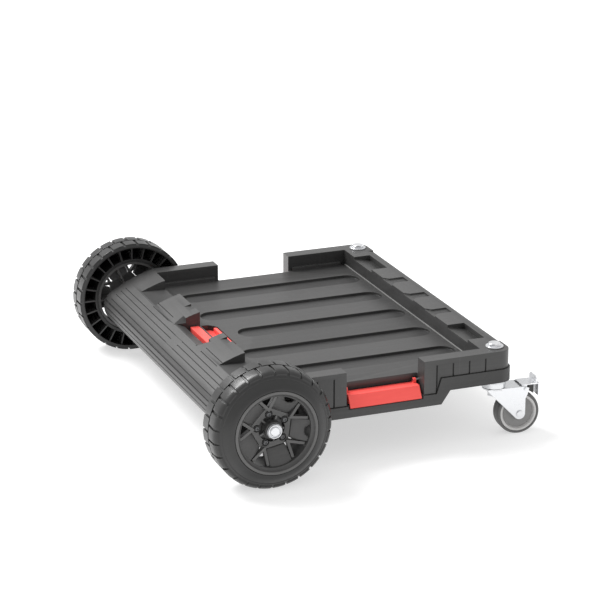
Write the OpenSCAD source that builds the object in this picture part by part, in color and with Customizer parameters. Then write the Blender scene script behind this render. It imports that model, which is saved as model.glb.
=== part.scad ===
/* [Loading bay] */
// Clear width between the side walls
bay_w = 585; // [480:1:720]
// Clear length from the rear humps to the front rail
bay_len = 370; // [300:1:460]
// Height of the deck surface above the floor
deck_z = 128; // [126:0.5:131]
// Height of the walls and rails above the deck
bay_depth = 28; // [24:0.5:34]
// Thickness of the deck plate
deck_t = 9; // [8:0.5:10]

/* [Tray] */
// Thickness of a side wall over both skins
wall_t = 26.5; // [24:0.5:34]
// Length of the front rail along the cart
rail_len = 49; // [46:0.5:60]
// Thickness of the moulded skins
skin_t = 4; // [3:0.5:5]
// Radius of the front corners
corner_r = 22; // [12:1:26]
// Length of a side cut-out
cutout_len = 138; // [110:1:165]
// Distance from a cut-out to the front rail
cutout_to_rail = 113; // [100:1:130]
// Width of a deck channel
channel_w = 46; // [30:1:54]
// Depth of a deck channel
channel_d = 4.5; // [2:0.5:6]
// Centre distance of the deck channels
channel_pitch = 104; // [84:1:106]
// Width of the shallow grooves outside
groove_w = 2; // [1:0.1:3]

/* [Lower frame] */
// How far the lower frame stands proud of the tray
frame_proud = 3; // [1.5:0.5:5]
// Height of the lower frame's bottom above the floor
frame_z = 78; // [70:1:84]
// Height of its ledge beside the cut-outs
ledge_z = 98; // [94:0.5:102]
// Height of the parting line round the front
front_ledge_z = 124.5; // [123:0.5:126]

/* [Axle housing] */
// Distance from the rear axle to the loading bay
bay_to_axle = 33; // [31:0.5:38]
// Radius of the round back of the housing
nose_r = 32; // [28:0.5:34]
// Width of the notch for the rear latch
notch_w = 116; // [96:1:130]
// Width of a foot pocket beside the humps
pocket_w = 80; // [60:1:90]
// Distance of a foot pocket's inner side from the centre line
pocket_y = 165; // [150:1:185]

/* [Rear wheels] */
// Diameter of a rear wheel over the tread
wheel_d = 203; // [170:1:240]
// Width of a rear tyre with its bulging side
tyre_w = 67.5; // [56:0.5:80]
// How far the outer side bulges from the tread to the rim
side_bulge = 15; // [8:0.5:18]
// Diameter of the rim where the tyre starts
rim_d = 142; // [130:1:150]
// Diameter of the steel axle
axle_d = 16; // [12:0.5:20]
// Gap between the tray and a rear tyre
wheel_gap = 11; // [8:0.5:20]
// Number of windows in a rim
spokes = 5; // [4:1:6]

/* [Casters] */
// Diameter of a caster wheel
caster_d = 75; // [62:1:78]
// Width of a caster tyre
caster_w = 26; // [22:0.5:28]
// Offset from the swivel axis to the wheel axle
trail = 41.5; // [38:0.5:50]
// Height of the caster from the floor to its mounting face
caster_h = 101; // [101:0.5:104]
// Distance of the swivel axis from the front face of the tray
caster_inset_x = 22; // [20:0.5:26]
// Distance of the swivel axis from the side face of the tray
caster_inset_y = 26; // [22:0.5:28]
// Angle of the casters about their swivel axes
caster_turn = -5; // [-45:1:45]
// Diameter of the fixing bolt
bolt_d = 12; // [10:0.5:12]
// Travel of the brake pedal in degrees
brake_travel = 7; // [5:0.5:7]

/* [Latches] */
// Length of a side latch
latch_len = 127.5; // [100:0.5:130]
// Thickness of the latch walls
latch_t = 2.6; // [2:0.1:3.2]
// Diameter of the latch pins
latch_pin_d = 4; // [3:0.1:4.4]
// Travel of the rear latch
rear_latch_travel = 8; // [5:0.5:9]

/* [Fits] */
// Radial clearance of a running fit
run_gap = 0.08; // [0.05:0.01:0.1]
// Radial clearance round a fixed bolt or screw
fix_gap = 0.1; // [0.05:0.05:0.3]
// Gap between pieces that slide or turn past each other
part_gap = 0.4; // [0.3:0.05:0.5]

/* [Hidden] */
$fn = 48;
eps = 0.01;

tray_w = bay_w + 2 * wall_t;
tray_half = tray_w / 2;
bay_half = bay_w / 2;
wall_top = deck_z + bay_depth;
deck_under = deck_z - deck_t;
axle_z = wheel_d / 2;

// Stations along the cart, measured from the rear axle
bay_x = bay_to_axle;
rail_x = bay_x + bay_len;
front_x = rail_x + rail_len;
cut_x1 = rail_x - cutout_to_rail;
cut_x0 = cut_x1 - cutout_len;
swivel_x = front_x - caster_inset_x;
swivel_y = tray_half - caster_inset_y;

// The origin is under the middle of the whole cart
caster_r = caster_d / 2;
caster_edge_r = 4;
front_reach = swivel_x + (trail + caster_r - caster_edge_r) * cos(caster_turn)
    + (caster_w / 2 - caster_edge_r) * abs(sin(caster_turn)) + caster_edge_r;
mid_x = (front_reach - wheel_d / 2) / 2;

// Lower frame: it steps up behind the casters
step_x0 = cut_x1 + 22;
step_dx = 8.5;
rise_x0 = step_x0 + 9;
rise_dx = 16;
frame_half = tray_half + frame_proud;
front_frame_z = caster_h;

// Axle housing: a round back and one large arc up to the humps
nose_x = bay_to_axle - 61.7;
nose_z = 95;
nose_end_a = 122;
top_arc_r = 274;
top_arc_x = nose_x + nose_r * cos(nose_end_a) - top_arc_r * cos(nose_end_a);
top_arc_z = nose_z + nose_r * sin(nose_end_a) - top_arc_r * sin(nose_end_a);
housing_half = tray_half - 1;
pocket_floor_z = 139.5;
rail_pocket_len = 31;
notch_half = notch_w / 2;
block_half = notch_half + 8;
hump_trough_y = 92;
trough_w = 24;
trough_d = 2.5;
groove_d = 1.2;
groove_pitch = 29.6;
groove_top = wall_top - 9;
rib_t = 4;
flare_w = 24;
bays_y = [[block_half, 150], [150, 235], [235, housing_half]];

// Screws through the lower frame into the tray, and through the housing's front
screw_r = 2;
screw_head_r = 4.2;
screw_head_t = 2.6;
screw_bite = 16;
// The first screw stands this share of the way from the bay's rear end to the second
first_screw_share = 0.27835;
tray_screw_x = [bay_x + (cut_x0 - 22 - bay_x) * first_screw_share, cut_x0 - 22, cut_x1 + 10,
    step_x0 + 40];
tray_boss_half = 8;
housing_screw_z = [deck_under - 9, wall_top - 16];

// Rear latch, sliding on a shelf below the deck
shelf_z = 110;
plate_z0 = shelf_z + 4;
plate_z1 = deck_under - 0.6;
grip_z = deck_z + 3;
grip_x0 = bay_x - 19;
grip_x1 = bay_x - 3;
lip_x1 = bay_x + 27;
slot_x0 = bay_x + 3;
slot_x1 = lip_x1 + 1;
slot_half = notch_half + 4;
lip_half = slot_half - 14;
plate_half = slot_half + 8;

// Side latch and its hinge
hinge_y = bay_half + 3;
hinge_z = deck_under - 0.5;
flange_top = hinge_z - 4.5;
flange_y0 = bay_half - 1.5;
flange_y1 = flange_y0 + 21;
flap_y = flange_y1 + 11;
flap_z = flange_top - 19.3;
deck_edge_y = bay_half - 3.5;
latch_x0 = cut_x0 + (cutout_len - latch_len) / 2;
latch_x1 = latch_x0 + latch_len;
lug_w = 5;
lug_r = latch_pin_d / 2 + 1.5;
pin_bite = 6;

// Rear wheels
tyre_y1 = tray_half + wheel_gap + tyre_w;
tyre_y0 = tray_half + wheel_gap;
tread_y1 = tyre_y1 - side_bulge;
wheel_r = wheel_d / 2;
rim_r = rim_d / 2;
rim_barrel_r = rim_r - 11;
hub_r = 15;
bush_r = axle_d / 2 + 3;
hub_y0 = tyre_y0 - 2;
hub_y1 = tyre_y1 - 13;
axle_cap_t = 3;
axle_end_y = hub_y1 + 5;
ribs_inside = 24;
plate_r = 36;
dish_y = tyre_y1 - 25;
dish_t = 4;
hub_screw_at = 25;
right_phase = 101;
left_phase = 79;

// Casters
plate_t = 2.5;
fork_top = caster_h - 15;
fork_half = caster_w / 2 + 5;
cap_r = 23;
kingpin_r = bolt_d / 2 + 3.5;
race_r = kingpin_r + 4.7;
ball_r = 2.5;
balls = 14;
kingpin_z = fork_top - plate_t - part_gap - 3;
bolt_r = bolt_d / 2;
washer_r = 15;
washer_t = 2.5;
head_t = 5;
nut_t = 10;
caster_axle_d = 8;
sleeve_r = caster_axle_d / 2 + 2.5;
pedal_x = trail + 8.5;
pedal_z = fork_top - 4.5;
pedal_pin_r = 2;
pedal_top = fork_top + 2.6;
pedal_end = trail + 35.3;
ear_half = fork_half - plate_t - part_gap;
tab_top = caster_h - 0.6;
shoe_x = trail + 23;
shoe_half = 4.5;
// At rest the shoe hangs clear of the tyre by twice what the pedal lowers it
shoe_r = caster_r + 2 * (shoe_x - pedal_x) * sin(brake_travel);
lobe_r = 10;

right = -1;
left = 1;

// Places a piece given in stations from the rear axle
module placed() { translate([-mid_x, 0, 0]) children(); }

// Makes a piece on the left side into one on either side
module on_side(side) {
    if (side == left) children();
    else mirror([0, 1, 0]) children();
}

module both_sides() {
    children();
    mirror([0, 1, 0]) children();
}

module span(x, y, z) {
    translate([x[0], y[0], z[0]]) cube([x[1] - x[0], y[1] - y[0], z[1] - z[0]]);
}

// Extrudes an outline drawn in x and z along the width
module across(y) {
    translate([0, y[1], 0]) rotate([90, 0, 0]) linear_extrude(y[1] - y[0]) children();
}

// Extrudes an outline drawn in y and z along the length
module along(x) {
    translate([x[0], 0, 0]) rotate([90, 0, 90]) linear_extrude(x[1] - x[0]) children();
}

function arc(cx, cz, r, a0, a1, n) =
    [for (i = [0:n]) let (a = a0 + (a1 - a0) * i / n) [cx + r * cos(a), cz + r * sin(a)]];

// Plan outline with two rounded front corners
module plan(x0, x1, half, r) {
    translate([x0, -half]) square([x1 - r - x0, 2 * half]);
    translate([x1 - r - eps, r - half]) square([r + eps, 2 * (half - r)]);
    for (s = [-1, 1]) translate([x1 - r, s * (half - r)]) circle(r);
}

// ---------------------------------------------------------------- tray

// Side view of the tray's outside, low beside the cut-outs and high in front
module tray_side() {
    polygon([[bay_x, ledge_z], [step_x0, ledge_z], [step_x0 + step_dx, front_ledge_z],
        [front_x, front_ledge_z], [front_x, wall_top], [bay_x, wall_top]]);
}

module tray_body() {
    intersection() {
        translate([0, 0, ledge_z]) linear_extrude(wall_top - ledge_z)
            plan(bay_x, front_x, tray_half, corner_r);
        union() {
            both_sides() across([bay_half, tray_half]) tray_side();
            span([rail_x, front_x], [-bay_half - 1, bay_half + 1], [front_ledge_z, wall_top]);
            span([bay_x, front_x - skin_t - 1], [-bay_half - 1, bay_half + 1],
                [deck_under, front_ledge_z + 1]);
            span([bay_x, rail_x + 1], [-bay_half - 1, bay_half + 1], [deck_under, deck_z]);
        }
    }
}

module channel(y, rear_x) {
    r = channel_w / 2;
    translate([0, y, deck_z - channel_d]) linear_extrude(channel_d + 1) {
        translate([rear_x + r, -r]) square([rail_x - 7 - rear_x - 2 * r, 2 * r]);
        translate([rear_x + r, 0]) circle(r);
        translate([rail_x - 7 - r, 0]) circle(r);
    }
}

// Foot pocket in the front rail, its floor falling to the front
module rail_pocket() {
    across([pocket_y, pocket_y + pocket_w])
        polygon([[rail_x - 1, wall_top - 5], [rail_x + rail_pocket_len, wall_top - 10],
            [rail_x + rail_pocket_len, wall_top + 1], [rail_x - 1, wall_top + 1]]);
}

// Trough across the front rail, wider where it meets the bay
module rail_trough(y) {
    half = trough_w / 2;
    flare = 9;
    translate([0, y, wall_top - trough_d]) linear_extrude(trough_d + 1)
        polygon([[rail_x - 1, -half - flare], [rail_x, -half - flare], [rail_x + flare, -half],
            [front_x - 13, -half], [front_x - 13, half], [rail_x + flare, half],
            [rail_x, half + flare], [rail_x - 1, half + flare]]);
}

// Hollows that the mould leaves in the walls, between the screw bosses
module wall_hollows() {
    stations = concat([bay_x + 8], tray_screw_x, [swivel_x - 22]);
    for (i = [0:len(stations) - 2]) {
        x0 = stations[i] + (i == 0 ? 0 : tray_boss_half);
        x1 = stations[i + 1] - (i == len(stations) - 2 ? 0 : tray_boss_half);
        if (i != 2)
            span([x0, x1], [bay_half + skin_t, tray_half - skin_t], [ledge_z - 1, wall_top - 6]);
    }
}

module outside_grooves() {
    front_grooves = [for (i = [0:3]) cut_x1 + 23 + i * groove_pitch];
    rear_grooves = [for (i = [0:2]) cut_x0 - 22.5 - i * groove_pitch];
    for (x = concat(front_grooves, rear_grooves))
        span([x - groove_w / 2, x + groove_w / 2], [tray_half - groove_d, tray_half + 1],
            [ledge_z - 1, groove_top]);
}

module deck_tray() {
    color([0.17, 0.17, 0.18]) placed() difference() {
        union() {
            tray_body();
            both_sides() for (x = [[bay_x + 12, cut_x0 - 7], [cut_x1 + 7, rail_x - 9]])
                span(x, [bay_half - 4, bay_half + 1], [deck_z - 1, deck_z + 6.5]);
        }
        both_sides() {
            span([cut_x0, cut_x1], [deck_edge_y, tray_half + 1], [ledge_z - 1, wall_top + 1]);
            wall_hollows();
            outside_grooves();
            rail_pocket();
            translate([swivel_x, swivel_y, 0]) cylinder(h = wall_top + 10, r = bolt_r + fix_gap);
            for (x = [cut_x0 - pin_bite - fix_gap, cut_x1 - 1])
                translate([x, hinge_y, hinge_z]) rotate([0, 90, 0])
                    cylinder(h = pin_bite + fix_gap + 1, d = latch_pin_d + fix_gap);
            for (x = tray_screw_x)
                translate([x, tray_half - wall_t / 2, ledge_z - 10])
                    cylinder(h = 52, r = screw_r + fix_gap);
            for (z = housing_screw_z)
                translate([bay_x - 1, tray_half - wall_t / 2, z]) rotate([0, 90, 0])
                    cylinder(h = screw_bite + 1, r = screw_r + fix_gap);
        }
        for (y = [-2:2])
            channel(y * channel_pitch, y == 0 ? slot_x1 + 22 : bay_x + 18);
        for (y = [-1:1]) rail_trough(y * hump_trough_y);
        across([24 - swivel_y, swivel_y - 24])
            polygon([[front_x - 11, wall_top], [front_x + 1, wall_top - 3],
                [front_x + 1, wall_top + 1], [front_x - 11, wall_top + 1]]);
        span([rail_x + skin_t, front_x - 9], [-swivel_y + 24, swivel_y - 24],
            [deck_under - 1, wall_top - 16]);
        translate([0, 0, deck_under - 1]) linear_extrude(deck_t + 2)
            polygon([[slot_x0, -slot_half], [slot_x1 - 12, -slot_half], [slot_x1, 14 - slot_half],
                [slot_x1, slot_half - 14], [slot_x1 - 12, slot_half], [slot_x0, slot_half]]);
    }
}

// --------------------------------------------------------- lower frame

module frame_side() {
    polygon([[bay_x, frame_z], [rise_x0, frame_z], [rise_x0 + rise_dx, front_frame_z],
        [front_x + frame_proud, front_frame_z], [front_x + frame_proud, front_ledge_z],
        [step_x0 + step_dx, front_ledge_z], [step_x0, ledge_z], [bay_x, ledge_z]]);
}

module frame_band() {
    difference() {
        intersection() {
            translate([0, 0, frame_z - 1]) linear_extrude(front_ledge_z - frame_z + 2)
                plan(bay_x, front_x + frame_proud, frame_half, corner_r + frame_proud);
            across([-frame_half, frame_half]) frame_side();
        }
        // The deck's front rail drops inside the band
        span([bay_x - 1, front_x - skin_t], [-bay_half - 2, bay_half + 2],
            [frame_z - 1, front_ledge_z + 1]);
        both_sides() span([bay_x + skin_t, rise_x0 - 6], [bay_half + 4, frame_half - 6],
            [frame_z - 1, ledge_z - skin_t]);
    }
}

module frame_ribs() {
    long_y = [-2.5, -1.5, -0.5, 0.5, 1.5, 2.5] * channel_pitch;
    cross_x = [bay_x, bay_x + 38, (bay_x + rail_x) / 2 - 35, (bay_x + rail_x) / 2 + 45,
        rise_x0 + rise_dx + 3, rail_x + 20];
    rib_z = front_frame_z + 2;
    low_z = ledge_z - skin_t;
    inner = deck_edge_y - 2;
    for (y = long_y) {
        span([bay_x, front_x - skin_t + 1], [y - rib_t / 2, y + rib_t / 2], [rib_z, deck_under]);
        span([bay_x, rise_x0], [y - rib_t / 2, y + rib_t / 2], [low_z, rib_z + 1]);
    }
    for (x = cross_x) if (x < step_x0) {
        span([x, x + rib_t], [-inner, inner], [low_z, deck_under]);
        span([x, x + rib_t], [-bay_half - 3, bay_half + 3], [low_z, ledge_z]);
    } else
        span([x, x + rib_t], [-bay_half - 3, bay_half + 3], [rib_z, deck_under]);
    both_sides() {
        span([cut_x0 - 8, cut_x1 + 8], [deck_edge_y - 6, deck_edge_y - 2],
            [ledge_z - skin_t, deck_under]);
        span([cut_x0 - 8, cut_x1 + 8], [deck_edge_y - 4, bay_half + 3], [ledge_z - skin_t, ledge_z]);
        span([swivel_x - 30, front_x - skin_t], [swivel_y - 32, bay_half + 3],
            [front_frame_z, deck_under]);
    }
}

module lower_frame() {
    color([0.15, 0.15, 0.16]) placed() difference() {
        union() {
            frame_band();
            frame_ribs();
        }
        both_sides() {
            translate([swivel_x, swivel_y, 0]) cylinder(h = wall_top, r = bolt_r + fix_gap);
            for (x = tray_screw_x)
                translate([x, tray_half - wall_t / 2, frame_z - 1])
                    cylinder(h = 60, r = screw_r + fix_gap);
            // Head room under the front screws
            translate([tray_screw_x[3], tray_half - wall_t / 2, front_frame_z - 1])
                cylinder(h = 1 + screw_head_t + 1, r = screw_head_r + 1);
            // Room behind the latch flap
            along([latch_x0 - 3, latch_x1 + 3])
                polygon([[flap_y - 6.8, ledge_z + 1], [flap_y - 3.4, flap_z - 1.8],
                    [frame_half + 1, flap_z - 1.8], [frame_half + 1, ledge_z + 1]]);
        }
        span([bay_x - 1, slot_x1 + 4], [-plate_half - 3, plate_half + 3], [plate_z0 - 3, deck_z]);
    }
}

// -------------------------------------------------------- axle housing

// Housing profile, drawn t inside the outer surface
module housing_side(t, front) {
    nose = arc(nose_x, nose_z, nose_r - t, nose_end_a, 270, 24);
    end_a = acos((front - top_arc_x) / (top_arc_r - t));
    top = arc(top_arc_x, top_arc_z, top_arc_r - t, end_a, nose_end_a, 12);
    polygon(concat(top, nose, [[front, nose_z - nose_r + t]]));
}

module housing_grooves() {
    strong_a = [117.3, 119.4, 121.6];
    for (a = strong_a) housing_groove(top_arc_x, top_arc_z, top_arc_r, a, 17, housing_half - 22);
    for (a = [112.9, 115.1])
        housing_groove(top_arc_x, top_arc_z, top_arc_r, a, notch_half + 27, pocket_y);
    for (a = [140, 157, 174, 191])
        housing_groove(nose_x, nose_z, nose_r, a, 0, housing_half - 22);
}

module housing_groove(cx, cz, r, a, y0, y1) {
    translate([cx + r * cos(a), 0, cz + r * sin(a)]) rotate([0, -a, 0])
        span([-groove_d, 2], [y0, y1], [-0.7, 0.7]);
}

module axle_housing() {
    cavity_front = bay_x - skin_t;
    color([0.16, 0.16, 0.17]) placed() difference() {
        intersection() {
            across([-housing_half, housing_half]) housing_side(0, bay_x);
            span([-wheel_d, bay_x], [-tray_half, tray_half], [0, wall_top]);
        }
        both_sides() {
            for (b = bays_y)
                across([b[0] + (b[0] == block_half ? 0 : rib_t / 2),
                    b[1] - (b[1] == housing_half ? skin_t : rib_t / 2)])
                    difference() {
                        housing_side(skin_t, cavity_front);
                        translate([-wheel_d, pocket_floor_z - skin_t]) square([wheel_d * 2, 60]);
                    }
            across([pocket_y, pocket_y + pocket_w])
                polygon([[-wheel_d, pocket_floor_z], [bay_x + 1, pocket_floor_z],
                    [bay_x + 1, wall_top + 20], [-wheel_d, wall_top + 20]]);
            translate([0, hump_trough_y, 0]) span([-wheel_d, bay_x + 1],
                [-trough_w / 2, trough_w / 2], [wall_top - trough_d - 1.5, wall_top + 1]);
            housing_grooves();
            for (z = housing_screw_z)
                translate([cavity_front - 1, tray_half - wall_t / 2, z]) rotate([0, 90, 0])
                    cylinder(h = skin_t + 2, r = screw_r + fix_gap);
            span([cavity_front - 22, cavity_front], [tray_half - wall_t, tray_half - 7],
                [wall_top - 22, wall_top - 9]);
        }
        // Room under the latch shelf
        across([-block_half, block_half]) difference() {
            housing_side(skin_t, cavity_front);
            translate([-wheel_d, shelf_z]) square([wheel_d * 2, 80]);
        }
        // Scoop for the fingers behind the rear latch
        across([-notch_half, notch_half])
            polygon([[bay_x - 75, pocket_floor_z + 1], [bay_x - 49, pocket_floor_z + 1],
                [bay_x - 28, deck_z + 4], [bay_x - 28, plate_z0 - part_gap],
                [bay_x + 1, plate_z0 - part_gap], [bay_x + 1, wall_top + 20],
                [bay_x - 75, wall_top + 20]]);
        both_sides() along([bay_x - 75, bay_x - 26])
            polygon([[notch_half - 1, pocket_floor_z - 2], [notch_half + flare_w, wall_top],
                [notch_half + flare_w, wall_top + 1], [notch_half - 1, wall_top + 1]]);
        span([grip_x0 - rear_latch_travel - 1, bay_x + 1],
            [-plate_half - part_gap, plate_half + part_gap],
            [plate_z0 - part_gap, plate_z1 + part_gap]);
        translate([0, -tray_half, axle_z]) rotate([-90, 0, 0])
            cylinder(h = tray_w, r = axle_d / 2 + fix_gap);
    }
}

// ------------------------------------------------------- axle, fasteners

module rear_axle() {
    color([0.75, 0.76, 0.78]) placed() translate([0, -axle_end_y, axle_z]) rotate([-90, 0, 0])
        cylinder(h = 2 * axle_end_y, d = axle_d);
}

module axle_washers() {
    color([0.7, 0.71, 0.73]) placed() both_sides()
        for (y = [[housing_half + part_gap, hub_y0 - part_gap], [hub_y1 + part_gap, hub_y1 + 1.9]])
            translate([0, y[0], axle_z]) rotate([-90, 0, 0]) difference() {
                cylinder(h = y[1] - y[0], r = axle_d / 2 + 4.5);
                translate([0, 0, -1]) cylinder(h = y[1] - y[0] + 2, r = axle_d / 2 + fix_gap);
            }
}

module axle_caps() {
    color([0.75, 0.76, 0.78]) placed() both_sides()
        translate([0, hub_y1 + 2, axle_z]) rotate([-90, 0, 0]) difference() {
            cylinder(h = axle_cap_t, r = axle_d / 2 + 4);
            translate([0, 0, -1]) cylinder(h = axle_cap_t + 2, r = axle_d / 2 + fix_gap);
        }
}

module pan_screw(shank) {
    translate([0, 0, -1]) cylinder(h = shank + 1, r = screw_r);
    translate([0, 0, -screw_head_t]) cylinder(h = screw_head_t, r = screw_head_r);
}

module tray_screws() {
    color([0.6, 0.61, 0.63]) placed() both_sides() for (i = [0:3])
        translate([tray_screw_x[i], tray_half - wall_t / 2,
            i == 3 ? front_frame_z + screw_head_t + 1 : ledge_z - skin_t])
            pan_screw(i == 3 ? 32 : 22);
}

module housing_screws() {
    color([0.6, 0.61, 0.63]) placed() both_sides() for (z = housing_screw_z)
        translate([bay_x - skin_t, tray_half - wall_t / 2, z]) rotate([0, 90, 0])
            pan_screw(skin_t + screw_bite - 2);
}

// ------------------------------------------------------------- latches

module latch_pins() {
    color([0.2, 0.2, 0.21]) placed() both_sides()
        for (x = [[cut_x0 - pin_bite, latch_x0 + lug_w], [latch_x1 - lug_w, cut_x1 + pin_bite]])
            translate([x[0], hinge_y, hinge_z]) rotate([0, 90, 0])
                cylinder(h = x[1] - x[0], d = latch_pin_d);
}

module latch_section() {
    polygon([[flange_y0, flange_top], [flange_y1, flange_top], [flap_y, flap_z],
        [flap_y - 2.3, flap_z - 1.3], [flange_y1 - 2.3, flange_top - latch_t],
        [flange_y0, flange_top - latch_t]]);
}

module latch_end() {
    gusset_y = flap_y - 4.5;
    polygon([[flange_y0, flange_top], [flange_y1 - 1, flange_top], [gusset_y, ledge_z + 1],
        [gusset_y - 6, ledge_z + 1], [flange_y0, flange_top - 7]]);
    translate([hinge_y - lug_r, flange_top - 1]) square([2 * lug_r, hinge_z - flange_top + 1]);
    translate([hinge_y, hinge_z]) circle(lug_r);
}

module side_latch(side) {
    color([0.85, 0.12, 0.13]) placed() on_side(side) difference() {
        union() {
            along([latch_x0, latch_x1]) latch_section();
            for (x = [latch_x0, latch_x1 - lug_w]) along([x, x + lug_w]) latch_end();
        }
        translate([latch_x0 - 1, hinge_y, hinge_z]) rotate([0, 90, 0])
            cylinder(h = latch_len + 2, r = latch_pin_d / 2 + run_gap);
    }
}

module right_latch() { side_latch(right); }
module left_latch() { side_latch(left); }

module rear_latch() {
    color([0.85, 0.12, 0.13]) placed() {
        span([grip_x0, lip_x1], [-plate_half, plate_half], [plate_z0, plate_z1]);
        span([grip_x0, grip_x1], [2 - notch_half, notch_half - 2], [plate_z1 - 1, grip_z]);
        span([lip_x1 - 6, lip_x1], [-lip_half, lip_half], [plate_z1 - 1, deck_z - 1.5]);
    }
}

// --------------------------------------------------------- rear wheels

module at_axle(side) {
    placed() on_side(side) translate([0, 0, axle_z]) rotate([-90, 0, 0]) children();
}

module tyre(side) {
    tread_t = 7;
    wall = 8;
    shoulder = 4;
    color([0.13, 0.13, 0.13]) at_axle(side) {
        rotate_extrude($fn = 96) polygon([[rim_r - 6, tyre_y0 + 6], [rim_r, tyre_y0 + 6],
            [rim_r, tyre_y1 - wall], [wheel_r - tread_t, tread_y1 - wall],
            [wheel_r - tread_t, tyre_y0], [wheel_r - shoulder, tyre_y0],
            [wheel_r, tyre_y0 + shoulder], [wheel_r, tread_y1 - 2 * shoulder],
            [wheel_r - shoulder, tread_y1], [(rim_r + wheel_r) / 2, tyre_y1 - side_bulge / 3],
            [rim_r + shoulder, tyre_y1], [rim_r - 6, tyre_y1]]);
        for (i = [0:ribs_inside - 1]) rotate([0, 0, i * 360 / ribs_inside])
            span([rim_r - 1, wheel_r - tread_t + 1], [-1.5, 1.5],
                [tyre_y0 + shoulder, tread_y1 - wall + 1]);
    }
}

module right_tyre() { tyre(right); }
module left_tyre() { tyre(left); }

// Window between two panels, cut through the rim's dish
module rim_window() {
    linear_extrude(tyre_y1) intersection() {
        circle(r = rim_barrel_r - 1);
        polygon([[plate_r + 2, 0], [rim_barrel_r, -21], [rim_barrel_r + 4, 0], [rim_barrel_r, 21]]);
    }
}

// Stiffener behind a panel, from the hub to the barrel
module rim_rib() {
    rotate([90, 0, 0]) translate([0, 0, -rib_t / 2]) linear_extrude(rib_t)
        polygon([[hub_r - 2, tyre_y0 + 12], [rim_barrel_r + 1, tyre_y0 + 12],
            [rim_barrel_r + 1, dish_y + 12], [plate_r, dish_y - 1], [hub_r - 2, dish_y - 1]]);
}

module rim(side) {
    rim_fit = rim_r - 6 - part_gap / 2;
    window_a = side == right ? right_phase : left_phase;
    color([0.16, 0.16, 0.17]) at_axle(side) difference() {
        union() {
            rotate_extrude($fn = 96) polygon([[rim_barrel_r, tyre_y0 + 8], [rim_fit, tyre_y0 + 8],
                [rim_fit, tyre_y1 - 4], [rim_barrel_r, tyre_y1 - 6]]);
            // The dish rises from the hub plate to the barrel
            rotate_extrude($fn = 96) polygon([[hub_r - 2, dish_y - dish_t],
                [plate_r, dish_y - dish_t], [rim_barrel_r + 1, dish_y + 11],
                [rim_barrel_r + 1, dish_y + 16], [plate_r, dish_y], [hub_r - 2, dish_y]]);
            translate([0, 0, hub_y0]) cylinder(h = hub_y1 - hub_y0, r = hub_r);
            for (i = [0:spokes - 1]) rotate([0, 0, -window_a + i * 360 / spokes]) {
                rotate([0, 0, 180 / spokes]) rim_rib();
                translate([hub_screw_at, 0, dish_y - 8]) cylinder(h = 7, r = screw_r + 2.5);
            }
        }
        translate([0, 0, hub_y0 - 1]) cylinder(h = tyre_w, r = bush_r + fix_gap);
        for (i = [0:spokes - 1]) rotate([0, 0, -window_a + i * 360 / spokes]) {
            rim_window();
            translate([hub_screw_at, 0, dish_y - 9]) cylinder(h = 20, r = screw_r + fix_gap);
        }
    }
}

module right_rim() { rim(right); }
module left_rim() { rim(left); }

module hub_bush(side) {
    color([0.3, 0.3, 0.31]) at_axle(side) translate([0, 0, hub_y0]) difference() {
        cylinder(h = hub_y1 - hub_y0, r = bush_r);
        translate([0, 0, -1]) cylinder(h = hub_y1 - hub_y0 + 2, r = axle_d / 2 + run_gap);
    }
}

module right_hub_bush() { hub_bush(right); }
module left_hub_bush() { hub_bush(left); }

module hub_screws(side) {
    window_a = side == right ? right_phase : left_phase;
    color([0.25, 0.25, 0.26]) at_axle(side)
        for (i = [0:spokes - 1]) rotate([0, 0, -window_a + i * 360 / spokes])
            translate([hub_screw_at, 0, dish_y]) mirror([0, 0, 1]) pan_screw(7);
}

module right_hub_screws() { hub_screws(right); }
module left_hub_screws() { hub_screws(left); }

// ------------------------------------------------------------- casters

module hexagon(flats, h) { cylinder(h = h, r = flats / sqrt(3), $fn = 6); }

module ring(h, r_out, r_in) {
    difference() {
        cylinder(h = h, r = r_out);
        translate([0, 0, -1]) cylinder(h = h + 2, r = r_in);
    }
}

module at_swivels() {
    placed() both_sides() translate([swivel_x, swivel_y, 0]) children();
}

module caster_bolts() {
    z0 = kingpin_z - nut_t;
    color([0.78, 0.79, 0.81]) at_swivels() {
        translate([0, 0, z0]) cylinder(h = wall_top + washer_t - z0 + 1, r = bolt_r);
        translate([0, 0, wall_top + washer_t]) hexagon(19, head_t);
    }
}

module caster_washers() {
    color([0.78, 0.79, 0.81]) at_swivels() translate([0, 0, wall_top])
        ring(washer_t, washer_r, bolt_r + fix_gap);
}

module caster_nuts() {
    color([0.7, 0.71, 0.73]) at_swivels() translate([0, 0, kingpin_z - nut_t]) difference() {
        hexagon(19, nut_t);
        translate([0, 0, -1]) cylinder(h = nut_t + 2, r = bolt_r + fix_gap);
    }
}

// A caster is drawn on its own swivel axis, trailing along x
module at_caster(side) {
    placed() translate([swivel_x, side * swivel_y, 0]) rotate([0, 0, caster_turn]) children();
}

module caster_head(side) {
    bore = bolt_r + fix_gap;
    race_top = fork_top + part_gap + 2 * ball_r + part_gap;
    cup_r = race_r + ball_r + part_gap;
    color([0.72, 0.73, 0.75]) at_caster(side) rotate_extrude() polygon([
        [bore, caster_h], [cap_r, caster_h], [cap_r, caster_h - 3.5], [cup_r + 3, caster_h - 5],
        [cup_r + 3, fork_top + part_gap], [cup_r, fork_top + part_gap], [cup_r, race_top],
        [kingpin_r, race_top], [kingpin_r, kingpin_z + 3], [kingpin_r + 4, kingpin_z + 3],
        [kingpin_r + 4, kingpin_z], [bore, kingpin_z]]);
}

module right_caster_head() { caster_head(right); }
module left_caster_head() { caster_head(left); }

module swivel_balls(side) {
    color([0.8, 0.8, 0.82]) at_caster(side) for (i = [0:balls - 1])
        rotate([0, 0, i * 360 / balls]) translate([race_r, 0, fork_top + part_gap + ball_r])
            sphere(r = ball_r, $fn = 24);
}

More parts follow.
